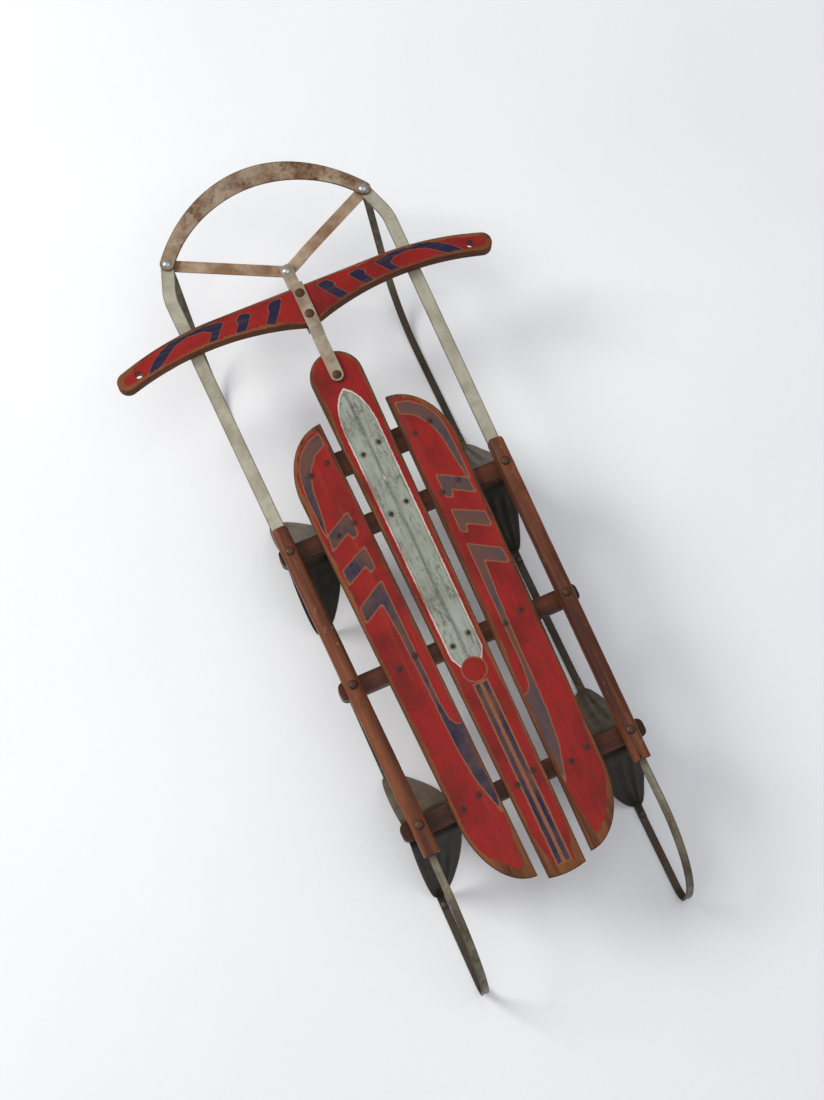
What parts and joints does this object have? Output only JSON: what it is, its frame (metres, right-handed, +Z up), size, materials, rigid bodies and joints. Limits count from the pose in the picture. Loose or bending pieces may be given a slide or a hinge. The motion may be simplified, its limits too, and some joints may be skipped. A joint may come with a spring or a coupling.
{
  "type": "steerable wooden runner sled",
  "caption": "Slatted wooden sled on curved steel runners, with side rails, a looped front bumper and a wooden steering bar that bends the runners.",
  "frame": {"origin": "on the ground under the middle of the whole length and width", "axes": "+Y forward, towards the bumper; +Z up; +X to the rider's right"},
  "size_m": [0.533, 1.11, 0.1716],
  "materials": {
    "painted_plank": "worn red paint over wood",
    "bench_wood": "dark varnish",
    "rail_wood": "worn red-brown varnish",
    "strip_steel": "dull pale grey, stained",
    "runner_steel": "dark, rubbed and rusted",
    "knee_steel": "dark olive paint, satin",
    "rusted_bar": "light rust over grey steel",
    "rusted_fastener": "rusted",
    "bright_rivet": "satin",
    "nail_steel": "tarnished"
  },
  "bodies": {
    "deck": {"deck_plank_left": "painted_plank", "deck_plank_centre": "painted_plank", "deck_plank_right": "painted_plank", "front_cleat": "bench_wood", "bench_front": "bench_wood", "bench_middle": "bench_wood", "bench_rear": "bench_wood", "side_rail_left": "rail_wood", "side_rail_right": "rail_wood", "rail_strip_left": "strip_steel", "rail_strip_right": "strip_steel", "runner_left": "runner_steel", "runner_right": "runner_steel", "knee_front_left": "knee_steel", "knee_front_right": "knee_steel", "knee_rear_left": "knee_steel", "knee_rear_right": "knee_steel", "deck_pivot_bolt": "rusted_fastener", "deck_pivot_washer": "rusted_fastener", "deck_pivot_nut": "rusted_fastener", "rail_bolts": "rusted_fastener", "rail_nuts": "rusted_fastener", "knee_rivets": "rusted_fastener", "foot_rivets": "rusted_fastener", "nails_left": "nail_steel", "nails_centre": "nail_steel", "nails_right": "nail_steel"},
    "steering": {"handlebar": "painted_plank", "steering_strap": "strip_steel", "pivot_bracket": "strip_steel", "handlebar_bolts": "rusted_fastener", "handlebar_nuts": "rusted_fastener", "centre_rivet": "bright_rivet"},
    "front_left": {"front_strip_left": "strip_steel", "front_runner_left": "runner_steel", "nose_rivet_left": "bright_rivet"},
    "front_right": {"front_strip_right": "strip_steel", "front_runner_right": "runner_steel", "nose_rivet_right": "bright_rivet"},
    "nose": {"bumper": "rusted_bar", "link_left": "rusted_bar", "link_right": "rusted_bar"}
  },
  "joints": [
    {"name": "steering_turn", "type": "hinge", "parent": "deck", "child": "steering", "pos_m": [0, 0.2315, 0.158], "axis": [0, 0, 1], "range_deg": [-10, 10]},
    {"name": "front_flex_left", "type": "hinge", "parent": "deck", "child": "front_left", "pos_m": [-0.1425, 0.1445, 0.147], "axis": [0, 0, 1], "range_deg": [-5.2, 5.2], "stiffness_Nm_per_rad": 6},
    {"name": "front_flex_right", "type": "hinge", "parent": "deck", "child": "front_right", "pos_m": [0.1425, 0.1445, 0.147], "axis": [0, 0, 1], "range_deg": [-5.2, 5.2], "stiffness_Nm_per_rad": 6},
    {"name": "nose_shift", "type": "hinge", "parent": "front_left", "child": "nose", "pos_m": [-0.1425, 0.4705, 0.147], "axis": [0, 0, 1], "range_deg": [-5.2, 5.2]}
  ],
  "couplings": [
    {"joint": "front_flex_left", "follows": "steering_turn", "ratio": 0.51534},
    {"joint": "front_flex_right", "follows": "steering_turn", "ratio": 0.51534},
    {"joint": "nose_shift", "follows": "steering_turn", "ratio": -0.51534}
  ]
}
